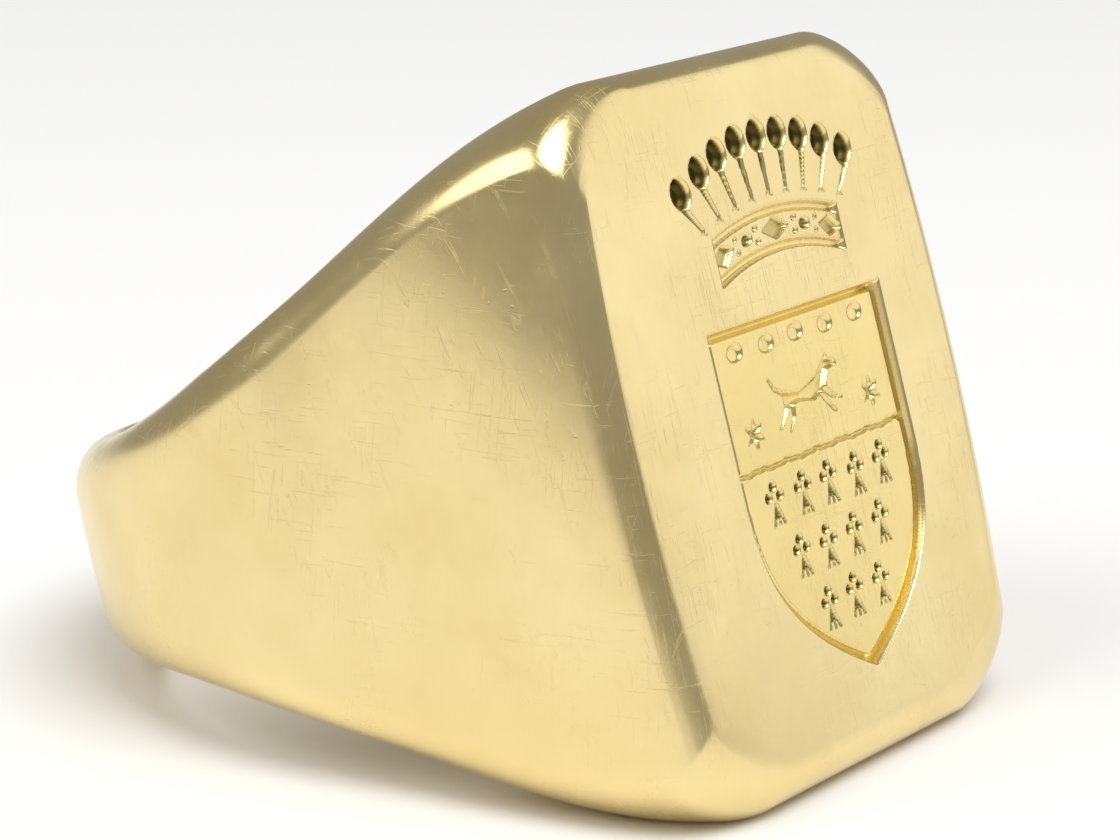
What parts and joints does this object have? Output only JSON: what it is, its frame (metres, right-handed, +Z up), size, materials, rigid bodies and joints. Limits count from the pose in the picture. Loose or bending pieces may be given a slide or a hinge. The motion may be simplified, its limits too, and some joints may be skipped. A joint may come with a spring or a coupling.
{
  "type": "signet ring",
  "caption": "Heavy signet ring with a large cut-cornered rectangular table, engraved with a coronet above a shield, flaring from a plain tapered shank",
  "frame": {"origin": "the middle of the footprint, on the surface the ring lies on", "axes": "+Z up; the ring lies on its side, with the engraved table facing -Y and leaning back 17.9 degrees, the shank at +Y and the finger axis 17.9 degrees off vertical in the YZ plane"},
  "size_m": [0.02, 0.0234, 0.0175],
  "materials": {
    "table_gold": "18 carat yellow gold, hand polished, worn: fine scratches, small pits and softened edges, with bright graver-cut lines in the face",
    "band_gold": "18 carat yellow gold, hand polished, worn: fine scratches, small pits and softened edges"
  },
  "bodies": {
    "root": {"table": "table_gold", "shoulder_left": "band_gold", "shoulder_right": "band_gold", "shank": "band_gold"}
  },
  "joints": []
}
